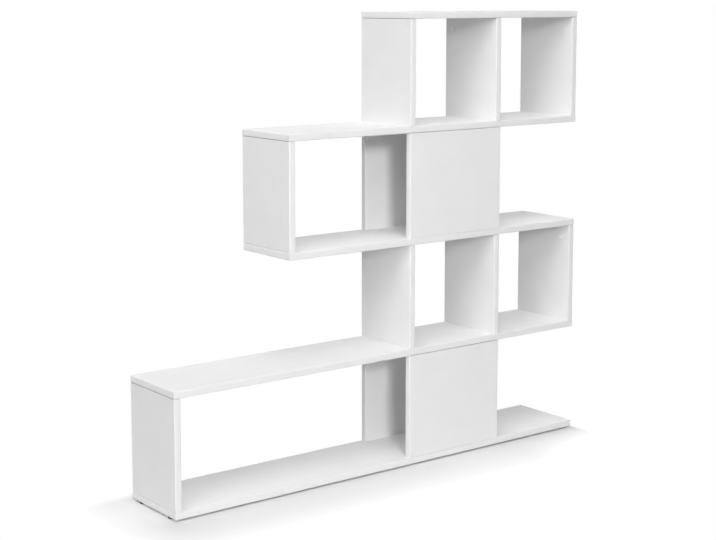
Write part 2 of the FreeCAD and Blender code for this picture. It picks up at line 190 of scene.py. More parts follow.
def take_off(piece, cutters):
    """Cuts the shapes of the cutters out of a piece and clears them away."""
    for cutter in cutters:
        bpy.context.scene.collection.objects.link(cutter)
        cut = piece.modifiers.new(cutter.name, "BOOLEAN")
        cut.operation = "DIFFERENCE"
        cut.object = cutter
    piece.data = bpy.data.meshes.new_from_object(piece.evaluated_get(bpy.context.evaluated_depsgraph_get()))
    piece.modifiers.clear()
    for cutter in cutters:
        bpy.data.objects.remove(cutter)


def end_foot(node_name, low, high):
    """Cutter for the foot of an upright at the end of a board, or none for one further in."""
    if "_end_panel" in node_name:
        return [foot_cutter(low, high, low.x, 1)]
    if "_right_panel" in node_name:
        return [foot_cutter(low, high, high.x, -1)]
    return []


def eased_copy(node_name, low, high):
    """Copy of an upright's solid, eased at top and foot, white on faces and bevel and raw elsewhere, the raw
    colour darkened as painted shade in the ease.
    """
    mesh = nodes[node_name].data.copy()
    shell = bmesh.new()
    shell.from_mesh(mesh)
    bmesh.ops.remove_doubles(shell, verts=shell.verts, dist=merge_distance)
    shell.to_mesh(mesh)
    shell.free()
    upright = bpy.data.objects.new(node_name.replace("_panel", "_upright"), mesh)
    bpy.context.scene.collection.objects.link(upright)
    take_off(upright, [arris_cutter(low, high)] + end_foot(node_name, low, high))
    across = 0 if high.x - low.x < high.y - low.y else 1
    upright.data.materials.clear()
    upright.data.materials.append(melamine)
    # The raw faces, darkened and greyed as painted shade, show in the eased top arris.
    upright.data.materials.append(raw_board_and_painted_shade)
    white_depth = 0.8 * foot_bevel_depth
    nearly_outward = 0.8
    for face in upright.data.polygons:
        depth = min(abs(face.center[across] - low[across]), abs(face.center[across] - high[across]))
        white = depth < white_depth and abs(face.normal[across]) > nearly_outward
        face.material_index = 0 if white else 1
    if "custom_normal" in upright.data.attributes:
        upright.data.attributes.remove(upright.data.attributes["custom_normal"])
    upright.data.shade_flat()
    return upright


for node_name in [name for name in nodes if name.endswith("_panel")]:
    low, high = (Vector(corner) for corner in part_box(f"{node_name}_edge_bands"))
    upright = eased_copy(node_name, low, high)
    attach(upright, "root")
    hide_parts(node_name)

# Edge bands.
# White plastic strip, 2 mm thick, glued to every sawn edge that shows and milled round at both corners.
# A board's long strips run the full length with the short ones between; an upright has two standing strips.

band_thickness = 0.002
band_corner_round = 0.0019
band_corner_steps = 6
board_thickness = 0.018
sharp_angle = math.radians(35)


def new_tree(name, sizes):
    """Node tree that takes marked places and named sizes and gives pieces."""
    tree = bpy.data.node_groups.new(name, "GeometryNodeTree")
    tree.interface.new_socket("Places", in_out="INPUT", socket_type="NodeSocketGeometry")
    for size in sizes:
        tree.interface.new_socket(size, in_out="INPUT", socket_type="NodeSocketFloat")
    tree.interface.new_socket("Pieces", in_out="OUTPUT", socket_type="NodeSocketGeometry")
    return tree, step(tree, "NodeGroupInput").outputs


def sum_of(tree, operation, first, second):
    """Result of a sum on two numbers or sockets."""
    return step(tree, "ShaderNodeMath", {0: first, 1: second}, operation=operation).outputs["Value"]


def mark_of(tree, mark, kind):
    """What a place is marked with, as a number or a direction."""
    return step(tree, "GeometryNodeInputNamedAttribute", {"Name": mark}, data_type=kind).outputs["Attribute"]


def joined(tree, first, second):
    """Two shapes as one."""
    both = step(tree, "GeometryNodeJoinGeometry")
    tree.links.new(first, both.inputs["Geometry"])
    tree.links.new(second, both.inputs["Geometry"])
    return both.outputs["Geometry"]


def set_out(tree, given, shape, rotation, scale, finish):
    """Ends a tree: one copy of a shape at every place, made real and given its finish."""
    copies = step(tree, "GeometryNodeInstanceOnPoints", {"Points": given["Places"], "Instance": shape})
    tree.links.new(rotation, copies.inputs["Rotation"])
    if scale is not None:
        tree.links.new(scale, copies.inputs["Scale"])
    real = step(tree, "GeometryNodeRealizeInstances", {"Geometry": copies.outputs["Instances"]})
    real = real.outputs["Geometry"]
    dressed = step(tree, "GeometryNodeSetMaterial", {"Geometry": real, "Material": finish})
    step(tree, "NodeGroupOutput", {"Pieces": dressed.outputs["Geometry"]})


def made_at(name, tree, sizes, places, marks):
    """Runs a tree on marked places and keeps the result as one plain mesh with its faces outward."""
    spots = bpy.data.meshes.new(name)
    spots.from_pydata(places, [], [])
    for mark, values in marks.items():
        if isinstance(values[0], float):
            spots.attributes.new(mark, "FLOAT", "POINT").data.foreach_set("value", values)
        else:
            parts = [part for value in values for part in value]
            spots.attributes.new(mark, "FLOAT_VECTOR", "POINT").data.foreach_set("vector", parts)
    piece = bpy.data.objects.new(name, spots)
    bpy.context.scene.collection.objects.link(piece)
    maker = piece.modifiers.new(name, "NODES")
    maker.node_group = tree
    for socket in tree.interface.items_tree:
        if socket.in_out == "INPUT" and socket.name in sizes:
            maker[socket.identifier] = sizes[socket.name]
    mesh = bpy.data.meshes.new_from_object(piece.evaluated_get(bpy.context.evaluated_depsgraph_get()))
    piece.modifiers.clear()
    piece.data = mesh
    for mark in marks:
        if mark in mesh.attributes:
            mesh.attributes.remove(mesh.attributes[mark])
    shell = bmesh.new()
    shell.from_mesh(mesh)
    bmesh.ops.recalc_face_normals(shell, faces=shell.faces)
    shell.to_mesh(mesh)
    shell.free()
    mesh.shade_smooth()
    mesh.set_sharp_from_angle(angle=sharp_angle)
    return piece


band_plastic, tree, shader, place = new_finish("white_edge_band")
shader.inputs["Specular IOR Level"].default_value = 0.4
cloud = step(tree, "ShaderNodeTexNoise", {"Vector": place, "Scale": 30.0, "Detail": 3.0}).outputs["Fac"]
band_white = two_tones(tree, cloud, (0.79, 0.79, 0.79), (0.81, 0.81, 0.81))
tree.links.new(band_white, shader.inputs["Base Color"])
scrape = step(tree, "ShaderNodeTexNoise", {"Vector": place, "Scale": 900.0, "Detail": 1.0}).outputs["Fac"]
tree.links.new(between(tree, scrape, 0.38, 0.5), shader.inputs["Roughness"])
ripple = step(tree, "ShaderNodeBump", {"Height": scrape, "Strength": 0.08, "Distance": 0.0002})
tree.links.new(ripple.outputs["Normal"], shader.inputs["Normal"])

band_tree, given = new_tree("edge_band_strips", ["Board thickness", "Band thickness", "Corner round"])
double = sum_of(band_tree, "MULTIPLY", given["Band thickness"], 2.0)
bar = step(
    band_tree,
    "GeometryNodeCurvePrimitiveQuadrilateral",
    {"Width": given["Board thickness"], "Height": double},
    mode="RECTANGLE",
)
milled = step(
    band_tree,
    "GeometryNodeFilletCurve",
    {
        "Curve": bar.outputs["Curve"],
        "Radius": given["Corner round"],
        "Count": band_corner_steps,
        "Limit Radius": True,
    },
    mode="POLY",
)
spot = step(band_tree, "GeometryNodeInputPosition").outputs["Position"]
spot = step(band_tree, "ShaderNodeSeparateXYZ", {"Vector": spot}).outputs
outer = sum_of(band_tree, "MAXIMUM", spot["Y"], 0.0)
glued_flat = step(band_tree, "ShaderNodeCombineXYZ", {"X": spot["X"], "Y": outer}).outputs["Vector"]
section = step(
    band_tree,
    "GeometryNodeSetPosition",
    {"Geometry": milled.outputs["Curve"], "Position": glued_flat},
)
filled = step(band_tree, "GeometryNodeFillCurve", {"Curve": section.outputs["Geometry"]}, mode="NGONS")
end_face = filled.outputs["Mesh"]
drawn = step(
    band_tree,
    "GeometryNodeExtrudeMesh",
    {"Mesh": end_face, "Offset": (0.0, 0.0, 1.0), "Individual": False},
    mode="FACES",
)
both = joined(band_tree, drawn.outputs["Mesh"], end_face)
strip = step(band_tree, "GeometryNodeMergeByDistance", {"Geometry": both, "Distance": merge_distance})
turn = step(
    band_tree,
    "FunctionNodeAxesToRotation",
    {
        "Primary Axis": mark_of(band_tree, "lengthwise", "FLOAT_VECTOR"),
        "Secondary Axis": mark_of(band_tree, "outward", "FLOAT_VECTOR"),
    },
    primary_axis="Z",
    secondary_axis="Y",
)
length = mark_of(band_tree, "length", "FLOAT")
stretch = step(band_tree, "ShaderNodeCombineXYZ", {"X": 1.0, "Y": 1.0, "Z": length})
set_out(
    band_tree,
    given,
    strip.outputs["Geometry"],
    turn.outputs["Rotation"],
    stretch.outputs["Vector"],
    band_plastic,
)


def strips_round(low, high):
    """Start, outward side, run and length of each strip on a board or upright with this box."""
    middle = (low + high) / 2
    size = high - low
    right, back, up = Vector((1, 0, 0)), Vector((0, 1, 0)), Vector((0, 0, 1))
    if size.z < size.y:
        yield Vector((low.x, low.y + band_thickness, middle.z)), -back, right, size.x
        yield Vector((low.x, high.y - band_thickness, middle.z)), back, right, size.x
        between_long = size.y - 2 * band_thickness
        yield Vector((low.x + band_thickness, low.y + band_thickness, middle.z)), -right, back, between_long
        yield Vector((high.x - band_thickness, low.y + band_thickness, middle.z)), right, back, between_long
    elif size.x < size.y:
        yield Vector((middle.x, low.y + band_thickness, low.z)), -back, up, size.z - ease_height
        yield Vector((middle.x, high.y - band_thickness, low.z)), back, up, size.z - ease_height
    else:
        yield Vector((low.x + band_thickness, middle.y, low.z)), -right, up, size.z - ease_height
        yield Vector((high.x - band_thickness, middle.y, low.z)), right, up, size.z - ease_height


band_sizes = {
    "Board thickness": board_thickness,
    "Band thickness": band_thickness,
    "Corner round": band_corner_round,
}
for node_name in [name for name in nodes if name.endswith("_edge_bands")]:
    low, high = (Vector(corner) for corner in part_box(node_name))
    starts, outward, lengthwise, lengths = zip(*strips_round(low, high))
    marks = {"outward": outward, "lengthwise": lengthwise, "length": [float(length) for length in lengths]}
    bands = made_at(node_name.replace("_edge_bands", "_round_bands"), band_tree, band_sizes, starts, marks)
    foot = end_foot(node_name, low, high)
    if foot:
        take_off(bands, foot)
    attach(bands, "root")
    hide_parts(node_name)

# Cam locks.
# Die-cast zinc discs let into the uprights, turned with a screwdriver to draw the bolt in.
# They keep the dull, slightly pitted skin of the casting.

zinc, tree, shader, place = new_finish("die_cast_zinc")
shader.inputs["Metallic"].default_value = 1.0
mottle = step(tree, "ShaderNodeTexNoise", {"Vector": place, "Scale": 420.0, "Detail": 4.0}).outputs["Fac"]
tree.links.new(two_tones(tree, mottle, (0.42, 0.42, 0.44), (0.6, 0.6, 0.62)), shader.inputs["Base Color"])
tree.links.new(between(tree, mottle, 0.35, 0.6), shader.inputs["Roughness"])
pits = step(tree, "ShaderNodeBump", {"Height": mottle, "Strength": 0.3, "Distance": 0.0002})
tree.links.new(pits.outputs["Normal"], shader.inputs["Normal"])
dress("_cam_locks", zinc)

# Cam bolts.
# Zinc-plated steel: the threaded end is driven into the board above up to its collar,
# and the neck and head hang in the cam of the upright below, which draws them down.

plated_steel, tree, shader, place = new_finish("plated_steel")
shader.inputs["Metallic"].default_value = 1.0
rings = step(
    tree,
    "ShaderNodeTexWave",
    {"Vector": place, "Scale": 900.0, "Distortion": 1.5},
    bands_direction="Z",
).outputs["Fac"]
bloom = step(tree, "ShaderNodeTexNoise", {"Vector": place, "Scale": 260.0, "Detail": 3.0}).outputs["Fac"]
tree.links.new(two_tones(tree, bloom, (0.58, 0.58, 0.57), (0.7, 0.7, 0.71)), shader.inputs["Base Color"])
tree.links.new(between(tree, rings, 0.24, 0.38), shader.inputs["Roughness"])
turned = step(tree, "ShaderNodeBump", {"Height": rings, "Strength": 0.25, "Distance": 0.0001})
tree.links.new(turned.outputs["Normal"], shader.inputs["Normal"])


def row_of(tree, index, choices):
    """Number that belongs to one of the rows of a turned shape."""
    rows = step(tree, "GeometryNodeIndexSwitch", {"Index": index}, data_type="FLOAT")
    while len(rows.index_switch_items) < len(choices):
        rows.index_switch_items.new()
    for socket, choice in zip(list(rows.inputs)[1:], choices):
        if isinstance(choice, bpy.types.NodeSocket):
            tree.links.new(choice, socket)
        else:
            socket.default_value = choice
    return rows.outputs["Output"]


def unit_rod(tree, sides, spans, fills, height):
    """Round blank of radius 1 about the axis, with the place of each of its points."""
    blank = step(
        tree,
        "GeometryNodeMeshCylinder",
        {
            "Vertices": sides,
            "Side Segments": spans,
            "Fill Segments": fills,
            "Radius": 1.0,
            "Depth": float(height),
        },
        fill_type="TRIANGLE_FAN",
    )
    spot = step(tree, "GeometryNodeInputPosition").outputs["Position"]
    return blank.outputs["Mesh"], step(tree, "ShaderNodeSeparateXYZ", {"Vector": spot}).outputs


def shaped(tree, blank, spot, radius, level):
    """Blank with each point brought to a radius and a level."""
    along, aside = (sum_of(tree, "MULTIPLY", spot[axis], radius) for axis in ("X", "Y"))
    target = step(tree, "ShaderNodeCombineXYZ", {"X": along, "Y": aside, "Z": level}).outputs["Vector"]
    shape = step(tree, "GeometryNodeSetPosition", {"Geometry": blank, "Position": target})
    return shape.outputs["Geometry"]


def turned_shape(tree, sides, fills, radii, levels):
    """Round shape whose rows, from the lowest up, have these radii and levels."""
    spans = len(radii) - 1
    blank, spot = unit_rod(tree, sides, spans, fills, spans)
    row = sum_of(tree, "ROUND", sum_of(tree, "ADD", spot["Z"], spans / 2), 0.0)
    radius = row_of(tree, row, radii)
    from_axis = step(tree, "ShaderNodeCombineXYZ", {"X": spot["X"], "Y": spot["Y"]}).outputs["Vector"]
    from_axis = step(tree, "ShaderNodeVectorMath", {0: from_axis}, operation="LENGTH").outputs["Value"]
    level = row_of(tree, row, [rule(from_axis) if callable(rule) else rule for rule in levels])
    return shaped(tree, blank, spot, radius, level)


def facing_turn(tree):
    """Turn that brings a shape's axis to the way its place faces."""
    facing = mark_of(tree, "facing", "FLOAT_VECTOR")
    return step(tree, "FunctionNodeAlignRotationToVector", {"Vector": facing}, axis="Z").outputs["Rotation"]


def half(tree, size):
    """Radius from a size across."""
    return sum_of(tree, "DIVIDE", size, 2.0)


def threaded_rod(tree, turns, crest, core, pitch, start):
    """Rod with a thread round it that starts at a level and runs out to a blunt point."""
    sides, spans_in_turn = 16, 8
    run_out_turns, point_share = 1.2, 0.55
    blank, spot = unit_rod(tree, sides, turns * spans_in_turn, 1, turns)
    round_axis = sum_of(tree, "DIVIDE", sum_of(tree, "ARCTAN2", spot["Y"], spot["X"]), 2 * math.pi)
    phase = sum_of(tree, "FRACT", sum_of(tree, "SUBTRACT", spot["Z"], round_axis), 0.0)
    to_and_fro = sum_of(tree, "SUBTRACT", sum_of(tree, "MULTIPLY", phase, 2.0), 1.0)
    flank = sum_of(tree, "ABSOLUTE", to_and_fro, 0.0)
    tooth = sum_of(tree, "MULTIPLY", sum_of(tree, "SUBTRACT", crest, core), flank)
    run_out = {"Value": spot["Z"], "From Min": turns / 2 - run_out_turns, "From Max": turns / 2}
    run_out.update({"To Min": 1.0, "To Max": point_share})
    run_out = step(tree, "ShaderNodeMapRange", run_out).outputs["Result"]
    radius = sum_of(tree, "MULTIPLY", sum_of(tree, "ADD", core, tooth), run_out)
    rise = sum_of(tree, "MULTIPLY", sum_of(tree, "ADD", spot["Z"], turns / 2), pitch)
    return shaped(tree, blank, spot, radius, sum_of(tree, "ADD", rise, start))


bolt_sizes = {
    "Thread across": 0.00474,
    "Thread core": 0.0036,
    "Thread length": 0.0113,
    "Collar across": 0.007,
    "Collar height": 0.0014,
    "Shank across": 0.0047,
    "Neck across": 0.0038,
    "Neck length": 0.0045,
    "Reach": 0.0316,
    "Head across": 0.0064,
    "Head length": 0.004,
    "Head bevel": 0.0007,
    "Seat bevel": 0.0003,
    "Neck cone": 0.0006,
    "Thread sunk": 0.0003,
}
bolt_turns = 7
bolt_sides = 24
head_foot_share, head_seat_share = 0.8, 0.9
collar_top_share = 0.1
bolt_tree, given = new_tree("cam_bolts", list(bolt_sizes))
tree = bolt_tree
head, neck = half(tree, given["Head across"]), half(tree, given["Neck across"])
shank, collar = half(tree, given["Shank across"]), half(tree, given["Collar across"])
seat = sum_of(tree, "MULTIPLY", given["Reach"], -1.0)
foot = sum_of(tree, "SUBTRACT", seat, given["Head length"])
neck_top = sum_of(tree, "ADD", seat, given["Neck length"])
under_collar = sum_of(tree, "MULTIPLY", given["Collar height"], -1.0)
thread_start = sum_of(tree, "MULTIPLY", given["Thread sunk"], -1.0)
bolt_rows = [
    (sum_of(tree, "MULTIPLY", head, head_foot_share), foot),
    (head, sum_of(tree, "ADD", foot, given["Head bevel"])),
    (head, sum_of(tree, "SUBTRACT", seat, given["Seat bevel"])),
    (sum_of(tree, "MULTIPLY", head, head_seat_share), seat),
    (neck, seat),
    (neck, neck_top),
    (shank, sum_of(tree, "ADD", neck_top, given["Neck cone"])),
    (shank, under_collar),
    (collar, under_collar),
    (collar, sum_of(tree, "MULTIPLY", under_collar, collar_top_share)),
]
radii, levels = zip(*bolt_rows)
bolt_body = turned_shape(tree, bolt_sides, 1, radii, levels)
pitch = sum_of(tree, "DIVIDE", given["Thread length"], bolt_turns)
bolt_thread = threaded_rod(
    tree,
    bolt_turns,
    half(tree, given["Thread across"]),
    half(tree, given["Thread core"]),
    pitch,
    thread_start,
)
set_out(tree, given, joined(tree, bolt_body, bolt_thread), facing_turn(tree), None, plated_steel)

cam_drop = 0.034
fitting_inset_across = 0.030
fitting_inset_along = 0.050


def fitting_rows(name):
    """Middles of the cam and of the dowel in the top end of an upright, and its box."""
    low, high = (Vector(corner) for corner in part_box(f"{name}_edge_bands"))
    middle = (low + high) / 2
    if name.endswith(("front_panel", "back_panel")):
        cam = Vector((low.x + fitting_inset_along, middle.y, high.z))
        dowel = Vector((high.x - fitting_inset_along, middle.y, high.z))
    else:
        cam = Vector((middle.x, high.y - fitting_inset_across, high.z))
        dowel = Vector((middle.x, low.y + fitting_inset_across, high.z))
    if name.endswith("right_panel"):
        cam, dowel = dowel, cam
    return cam, dowel, low, high


def stand_in_rows(kind, tree, sizes, place_in):
    """Makes one kind of fastener for every tier, standing at a place in each of its uprights."""
    for tier in ("tier1", "tier2", "tier3", "tier4"):
        uprights = [name for name in nodes if name.startswith(tier) and name.endswith("_panel")]
        places = [place_in(*fitting_rows(name)) for name in uprights]
        upward = [(0.0, 0.0, 1.0)] * len(places)
        fasteners = made_at(f"{tier}_turned_{kind}", tree, sizes, places, {"facing": upward})
        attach(fasteners, "root")
        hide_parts(f"{tier}_{kind}")


def bolt_place(cam, dowel, low, high):
    """Where a bolt's collar meets the board above, over the cam."""
    return cam


stand_in_rows("cam_bolts", bolt_tree, bolt_sizes, bolt_place)

# Screws.
# Plated steel screws with a flat head and a drive hollow. Under each upright, one is let into
# the underside of the board that carries it and driven up into its foot.

screw_sizes = {
    "Head across": 0.0093,
    "Head height": 0.003,
    "Drive depth": 0.002,
    "Shank across": 0.0056,
    "Shank length": 0.012,
    "Thread across": 0.0057,
    "Thread core": 0.0042,
    "Screw length": 0.050,
    "Head bevel": 0.0003,
    "Thread sunk": 0.0005,
}
screw_turns = 15
screw_sides, screw_fills = 24, 12
face_share, head_side_share = 0.94, 0.55
drive_floor_share, drive_rim_share = 0.42, 0.5
screw_tree, given = new_tree("foot_screws", list(screw_sizes))
tree = screw_tree


def fading(tree, value, start, end):
    """Share that falls from 1 to 0 as a value goes from start to end."""
    limits = {"Value": value, "From Min": start, "From Max": end, "To Min": 1.0, "To Max": 0.0}
    return step(tree, "ShaderNodeMapRange", limits).outputs["Result"]


def drive_hollow(from_axis):
    """Level of the head's face, which rises to a hollow about the axis for the key."""
    inside = fading(screw_tree, from_axis, drive_floor_share, drive_rim_share)
    return sum_of(screw_tree, "MULTIPLY", inside, given["Drive depth"])


head, shank = half(tree, given["Head across"]), half(tree, given["Shank across"])
shank_top = given["Shank length"]
screw_rows = [
    (sum_of(tree, "MULTIPLY", head, face_share), drive_hollow),
    (head, given["Head bevel"]),
    (head, sum_of(tree, "MULTIPLY", given["Head height"], head_side_share)),
    (shank, given["Head height"]),
    (shank, shank_top),
]
radii, levels = zip(*screw_rows)
screw_body = turned_shape(tree, screw_sides, screw_fills, radii, levels)
thread_start = sum_of(tree, "SUBTRACT", shank_top, given["Thread sunk"])
thread_length = sum_of(tree, "SUBTRACT", given["Screw length"], thread_start)
pitch = sum_of(tree, "DIVIDE", thread_length, screw_turns)
screw_thread = threaded_rod(
    tree,
    screw_turns,
    half(tree, given["Thread across"]),
    half(tree, given["Thread core"]),
    pitch,
    thread_start,
)
set_out(tree, given, joined(tree, screw_body, screw_thread), facing_turn(tree), None, plated_steel)

screw_head_recess = 0.0005


def screw_place(cam, dowel, low, high):
    """Where a screw's head stands, let in under the board that carries the upright."""
    middle = (low + high) / 2
    return Vector((middle.x, middle.y, low.z - board_thickness + screw_head_recess))


stand_in_rows("screws", screw_tree, screw_sizes, screw_place)

# Dowels.
# Raw beech pins with fluted sides and eased ends, glued into the upright and pushed dry into the board above.
# The grain runs up the pin, with short dark flecks.

beech, tree, shader, place = new_finish("raw_beech")
shader.inputs["Roughness"].default_value = 0.75
along_grain = step(tree, "ShaderNodeMapping", {"Vector": place, "Scale": (900.0, 900.0, 60.0)})
along_grain = along_grain.outputs["Vector"]
fibre = step(tree, "ShaderNodeTexNoise", {"Vector": along_grain, "Scale": 1.0, "Detail": 4.0}).outputs["Fac"]
tree.links.new(two_tones(tree, fibre, (0.5, 0.31, 0.16), (0.7, 0.5, 0.3)), shader.inputs["Base Color"])
fleck = step(tree, "ShaderNodeBump", {"Height": fibre, "Strength": 0.4, "Distance": 0.0003})
tree.links.new(fleck.outputs["Normal"], shader.inputs["Normal"])

dowel_sizes = {"Dowel across": 0.0075, "Dowel length": 0.030, "End ease": 0.001}
dowel_in_board = 0.010
flutes, sides_in_flute, flute_share = 18, 4, 0.93
dowel_tree, given = new_tree("fluted_dowels", list(dowel_sizes))
tree = dowel_tree
side = half(tree, given["Dowel across"])
eased_end = sum_of(tree, "SUBTRACT", side, given["End ease"])
dowel_rows = [
    (eased_end, 0.0),
    (side, given["End ease"]),
    (side, sum_of(tree, "SUBTRACT", given["Dowel length"], given["End ease"])),
    (eased_end, given["Dowel length"]),
]
radii, levels = zip(*dowel_rows)
plain_pin = turned_shape(tree, flutes * sides_in_flute, 1, radii, levels)
spot = step(tree, "GeometryNodeInputPosition").outputs["Position"]
parts = step(tree, "ShaderNodeSeparateXYZ", {"Vector": spot}).outputs
angle = sum_of(tree, "MULTIPLY", sum_of(tree, "ARCTAN2", parts["Y"], parts["X"]), float(flutes))
wave = {"Value": sum_of(tree, "COSINE", angle, 0.0), "From Min": -1.0, "To Min": flute_share}
flute = step(tree, "ShaderNodeMapRange", wave).outputs["Result"]
pin = shaped(tree, plain_pin, parts, flute, parts["Z"])
set_out(tree, given, pin, facing_turn(tree), None, beech)


def dowel_place(cam, dowel, low, high):
    """Where a dowel's lower end stands in the top end of an upright."""
    return dowel + Vector((0.0, 0.0, dowel_in_board - dowel_sizes["Dowel length"]))


stand_in_rows("dowels", dowel_tree, dowel_sizes, dowel_place)

# Cam covers.
# Round white plastic covers with a dished face, pressed into the cam bores so that the zinc doesn't show.
# One covers each cam, 34 mm under the top of its upright.

cover_sizes = {
    "Cap across": 0.0185,
    "Cap height": 0.0018,
    "Rim height": 0.0017,
    "Dish depth": 0.0015,
    "Plug across": 0.0146,
    "Plug depth": 0.0004,
}
cap_sides, cap_fills = 40, 12
cap_edge_share, cap_shoulder_share = 0.95, 0.6
dish_floor_share, dish_rim_share = 0.7, 0.82

cap_plastic, tree, shader, place = new_finish("white_cap_plastic")
shader.inputs["Specular IOR Level"].default_value = 0.5
haze = step(tree, "ShaderNodeTexNoise", {"Vector": place, "Scale": 160.0, "Detail": 3.0}).outputs["Fac"]
tree.links.new(two_tones(tree, haze, (0.81, 0.81, 0.81), (0.84, 0.84, 0.84)), shader.inputs["Base Color"])
tree.links.new(between(tree, haze, 0.28, 0.42), shader.inputs["Roughness"])
spark = step(tree, "ShaderNodeTexNoise", {"Vector": place, "Scale": 2600.0, "Detail": 1.0}).outputs["Fac"]
eroded = step(tree, "ShaderNodeBump", {"Height": spark, "Strength": 0.1, "Distance": 0.0001})
tree.links.new(eroded.outputs["Normal"], shader.inputs["Normal"])


def new_cap_tree(name, finish):
    """Tree for a round cap with a domed or dished face and a plug behind it."""
    tree, given = new_tree(name, list(cover_sizes))
    plug, cap = half(tree, given["Plug across"]), half(tree, given["Cap across"])
    eased = sum_of(tree, "MULTIPLY", cap, cap_edge_share)
    bottom = sum_of(tree, "MULTIPLY", given["Plug depth"], -1.0)
    shoulder = sum_of(tree, "MULTIPLY", given["Rim height"], cap_shoulder_share)

    def face(from_axis):
        """Level of the face, domed all over and sunk inside the rim."""
        rise = sum_of(tree, "SUBTRACT", given["Cap height"], given["Rim height"])
        fall = sum_of(tree, "SUBTRACT", 1.0, sum_of(tree, "POWER", from_axis, 2.0))
        domed = sum_of(tree, "ADD", given["Rim height"], sum_of(tree, "MULTIPLY", rise, fall))
        dish = fading(tree, from_axis, dish_floor_share, dish_rim_share)
        return sum_of(tree, "SUBTRACT", domed, sum_of(tree, "MULTIPLY", dish, given["Dish depth"]))

    radii, levels = [plug, plug, cap, cap, eased], [bottom, 0.0, 0.0, shoulder, face]
    shape = turned_shape(tree, cap_sides, cap_fills, radii, levels)
    set_out(tree, given, shape, facing_turn(tree), None, finish)
    return tree


cover_places, cover_facings = [], []
for name in [name for name in nodes if name.endswith("_panel")]:
    cam = fitting_rows(name)[0]
    if name.endswith(("left_panel", "end_panel")):
        facing = Vector((1.0, 0.0, 0.0))
    elif name.endswith(("middle_panel", "right_panel")):
        facing = Vector((-1.0, 0.0, 0.0))
    elif name.endswith("front_panel"):
        facing = Vector((0.0, 1.0, 0.0))
    else:
        facing = Vector((0.0, -1.0, 0.0))
    cover_places.append(cam + facing * board_thickness / 2 - Vector((0.0, 0.0, cam_drop)))
    cover_facings.append(facing)
cap_tree = new_cap_tree("round_caps", cap_plastic)
covers = made_at("cam_covers", cap_tree, cover_sizes, cover_places, {"facing": cover_facings})
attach(covers, "root")

# Screw caps.
# Flat white plastic caps that plug into the sunk screw heads on the undersides of the boards.
# There is one under the middle of each upright's foot.

screw_cap_sizes = {
    "Cap across": 0.013,
    "Cap height": 0.0011,
    "Rim height": 0.0008,
    "Dish depth": 0.0,
    "Plug across": 0.009,
    "Plug depth": 0.0004,
}
screw_cap_places = []
for name in [name for name in nodes if name.endswith("_panel")]:
    low, high = (Vector(corner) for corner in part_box(f"{name}_edge_bands"))
    middle = (low + high) / 2
    screw_cap_places.append((middle.x, middle.y, low.z - board_thickness))
downward = [(0.0, 0.0, -1.0)] * len(screw_cap_places)
screw_caps = made_at("screw_caps", cap_tree, screw_cap_sizes, screw_cap_places, {"facing": downward})
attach(screw_caps, "root")

# Glides.
# Black moulded plastic discs under the bottom board, eased at the foot and hollowed in the middle,
# each held by one steel nail driven up through its hollow.

glide_low, glide_high = (Vector(corner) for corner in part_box("floor_glides"))
glide_radius = 0.010
glide_height = glide_high.z - glide_low.z
glide_sizes = {"Glide across": 2 * glide_radius, "Glide height": glide_height, "Hollow depth": 0.0014}
glide_sides, glide_fills = 40, 6
foot_share, top_share = 0.88, 0.97
waist_share, shoulder_share = 0.25, 0.9
hollow_floor_share, hollow_rim_share = 0.2, 0.32

black_plastic, tree, shader, place = new_finish("black_moulded_plastic")
skin = step(tree, "ShaderNodeTexNoise", {"Vector": place, "Scale": 1500.0, "Detail": 3.0}).outputs["Fac"]
moulded_black = two_tones(tree, skin, (0.012, 0.012, 0.012), (0.022, 0.022, 0.022))
tree.links.new(moulded_black, shader.inputs["Base Color"])
tree.links.new(between(tree, skin, 0.4, 0.6), shader.inputs["Roughness"])
moulded = step(tree, "ShaderNodeBump", {"Height": skin, "Strength": 0.3, "Distance": 0.0001})
tree.links.new(moulded.outputs["Normal"], shader.inputs["Normal"])

glide_tree, given = new_tree("floor_glides", list(glide_sizes))
rim = half(glide_tree, given["Glide across"])
foot = sum_of(glide_tree, "MULTIPLY", rim, foot_share)
eased_top = sum_of(glide_tree, "MULTIPLY", rim, top_share)
waist = sum_of(glide_tree, "MULTIPLY", given["Glide height"], waist_share)
shoulder = sum_of(glide_tree, "MULTIPLY", given["Glide height"], shoulder_share)


def nail_hollow(from_axis):
    """Level of the foot, which rises to a hollow about the axis."""
    inside = fading(glide_tree, from_axis, hollow_floor_share, hollow_rim_share)
    return sum_of(glide_tree, "MULTIPLY", inside, given["Hollow depth"])


glide_shape = turned_shape(
    glide_tree,
    glide_sides,
    glide_fills,
    [foot, rim, rim, eased_top],
    [nail_hollow, waist, shoulder, given["Glide height"]],
)
set_out(glide_tree, given, glide_shape, facing_turn(glide_tree), None, black_plastic)
front_panel_low, front_panel_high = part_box("tier4_front_panel_edge_bands")
glide_columns = [
    glide_low.x + glide_radius,
    (front_panel_low[0] + front_panel_high[0]) / 2,
    glide_high.x - glide_radius,
]
glide_places = []
for column in glide_columns:
    for row in (glide_low.y + glide_radius, glide_high.y - glide_radius):
        glide_places.append((column, row, glide_low.z))
upward = [(0.0, 0.0, 1.0)] * len(glide_places)
glides = made_at("moulded_glides", glide_tree, glide_sizes, glide_places, {"facing": upward})
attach(glides, "root")
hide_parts("floor_glides")

# Glide nails.
# One steel nail holds each glide, its domed head sunk in the hollow so that it can't scratch the floor.

nail_tree = new_cap_tree("domed_nails", plated_steel)
nail_sizes = {
    "Cap across": 0.0032,
    "Cap height": 0.0008,
    "Rim height": 0.0004,
    "Dish depth": 0.0,
    "Plug across": 0.0016,
    "Plug depth": glide_height - glide_sizes["Hollow depth"],
}
nail_places = [(x, y, z + glide_sizes["Hollow depth"]) for x, y, z in glide_places]
nail_facings = [(0.0, 0.0, -1.0)] * len(nail_places)
nails = made_at("glide_nails", nail_tree, nail_sizes, nail_places, {"facing": nail_facings})
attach(nails, "root")

